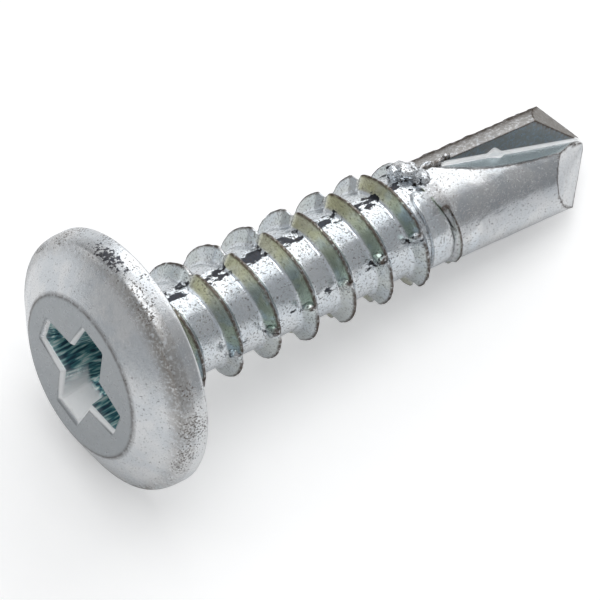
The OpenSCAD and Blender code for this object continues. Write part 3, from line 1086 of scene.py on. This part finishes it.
def studio_world():
    """White to the camera; for light and reflections a grey room with a few soft bright and dark patches."""
    world = bpy.data.worlds.new("studio")
    bpy.context.scene.world = world
    world.use_nodes = True
    t = Tree(world.node_tree)
    t.nodes.clear()
    coords = t.add("ShaderNodeTexCoord")
    level = ROOM_LEVEL
    for azimuth, high, half, light in ROOM:
        toward = direction(math.radians(azimuth), math.radians(high))
        dot = t.add("ShaderNodeVectorMath", operation="DOT_PRODUCT")
        t.put(dot.inputs[0], coords.outputs["Generated"])
        dot.inputs[1].default_value = toward
        outer, inner = math.cos(math.radians(half * 1.25)), math.cos(math.radians(half * 0.55))
        level = t.math("ADD", level, t.fit(dot.outputs["Value"], outer, inner, 0.0, light))
    room = t.add("ShaderNodeBackground")
    room.inputs["Color"].default_value = (0.97, 0.985, 1.0, 1)
    t.put(room.inputs["Strength"], t.math("MAXIMUM", level, 0.02))
    white = t.add("ShaderNodeBackground")
    white.inputs["Color"].default_value = (1, 1, 1, 1)
    white.inputs["Strength"].default_value = 1.0
    path = t.add("ShaderNodeLightPath")
    mixer = t.add("ShaderNodeMixShader")
    t.put(mixer.inputs[0], path.outputs["Is Camera Ray"])
    t.put(mixer.inputs[1], room.outputs[0])
    t.put(mixer.inputs[2], white.outputs[0])
    out = t.add("ShaderNodeOutputWorld")
    t.put(out.inputs["Surface"], mixer.outputs[0])


def soft_lamp(name, azimuth, high, distance, size, watts):
    """A square soft lamp that looks at the screw."""
    lamp = bpy.data.lights.new(name, "AREA")
    lamp.shape = "SQUARE"
    lamp.size = size
    lamp.energy = watts
    obj = bpy.data.objects.new(name, lamp)
    bpy.context.scene.collection.objects.link(obj)
    toward = direction(math.radians(azimuth), math.radians(high))
    obj.location = Vector((0, 0, 0.004)) + toward * distance
    obj.rotation_euler = toward.to_track_quat("Z", "Y").to_euler()
    return obj


# Operators


class FRAMING_OT_screw(bpy.types.Operator):
    """Build the screw: head, root, thread, drill point and burrs as one closed skin, with its zinc finish"""

    bl_idname = "framing.screw"
    bl_label = "Screw"
    bl_options = {"REGISTER", "UNDO"}

    def execute(self, context):
        s, colours = context.scene.screw_sizes, context.scene.screw_colours
        core = turned_form("screw_skin", core_profile(s), ROUND_STEPS)
        combine(core, [recess_form(s)], "DIFFERENCE")
        parts = [thread_form(s), drill_form(s), plate_form(s)]
        combine(core, parts + flash_forms(s) + burr_forms() + knot_forms(s), "UNION")
        activate(core)
        bpy.ops.object.mode_set(mode="EDIT")
        bpy.ops.mesh.select_all(action="SELECT")
        bpy.ops.mesh.remove_doubles(threshold=0.001)
        bpy.ops.mesh.dissolve_degenerate(threshold=0.0002)
        bpy.ops.mesh.quads_convert_to_tris(quad_method="BEAUTY", ngon_method="BEAUTY")
        bpy.ops.object.mode_set(mode="OBJECT")
        move_points(core, roughen(s))
        surface_marks(core.data, s)
        place = lay_down(s)
        core.data.transform(place)
        core.data.transform(Matrix.Scale(1.0 / MM, 4))
        activate(core)
        bpy.ops.object.shade_smooth_by_angle(angle=SHARP_FROM)
        core.data.materials.clear()
        core.data.materials.append(zinc_finish(colours, place, s))
        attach(core, "root")
        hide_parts("screw")
        return {"FINISHED"}


class FRAMING_OT_stage(bpy.types.Operator):
    """Build the white table, the soft lamps, the room's light and the camera"""

    bl_idname = "framing.stage"
    bl_label = "Stage"
    bl_options = {"REGISTER", "UNDO"}

    def execute(self, context):
        colours = context.scene.screw_colours
        deselect()
        bpy.ops.mesh.primitive_plane_add(size=3.0, location=(0, 0, 0))
        table = context.object
        table.name = "table"
        table.data.materials.append(table_finish(colours))
        studio_world()
        for lamp in LAMPS:
            soft_lamp(*lamp)
        camera = bpy.data.objects.new("camera", bpy.data.cameras.new("camera"))
        context.scene.collection.objects.link(camera)
        camera.data.lens = LENS
        camera.data.sensor_width = SENSOR_WIDTH
        camera.data.clip_start = 0.01
        camera.data.clip_end = 20.0
        toward = direction(CAMERA_AZIMUTH, CAMERA_HEIGHT)
        camera.location = AIM + toward * CAMERA_DISTANCE
        level = toward.to_track_quat("Z", "Y").to_matrix()
        camera.rotation_euler = (level @ Matrix.Rotation(CAMERA_ROLL, 3, "Z")).to_euler()
        context.scene.camera = camera
        context.scene.view_settings.view_transform = "Standard"
        return {"FINISHED"}


class FRAMING_PT_screw(bpy.types.Panel):
    """Framing screw"""

    bl_idname = "FRAMING_PT_screw"
    bl_label = "Framing screw"
    bl_space_type = "VIEW_3D"
    bl_region_type = "UI"
    bl_category = "Framing screw"

    def draw(self, context):
        layout = self.layout
        for group in (context.scene.screw_sizes, context.scene.screw_colours):
            box = layout.box()
            for name in group.__annotations__:
                box.prop(group, name)
        layout.operator(FRAMING_OT_screw.bl_idname)
        layout.operator(FRAMING_OT_stage.bl_idname)


CLASSES = (ScrewSizes, ScrewColours, FRAMING_OT_screw, FRAMING_OT_stage, FRAMING_PT_screw)


def register():
    """Registers the classes and hangs the sizes and colours on the scene."""
    for cls in CLASSES:
        bpy.utils.register_class(cls)
    bpy.types.Scene.screw_sizes = bpy.props.PointerProperty(type=ScrewSizes)
    bpy.types.Scene.screw_colours = bpy.props.PointerProperty(type=ScrewColours)


def unregister():
    """Undoes register."""
    del bpy.types.Scene.screw_sizes
    del bpy.types.Scene.screw_colours
    for cls in reversed(CLASSES):
        bpy.utils.unregister_class(cls)


def main():
    """Builds the piece and the stage in order."""
    register()
    bpy.ops.framing.screw()
    bpy.ops.framing.stage()


if __name__ == "__main__":
    main()
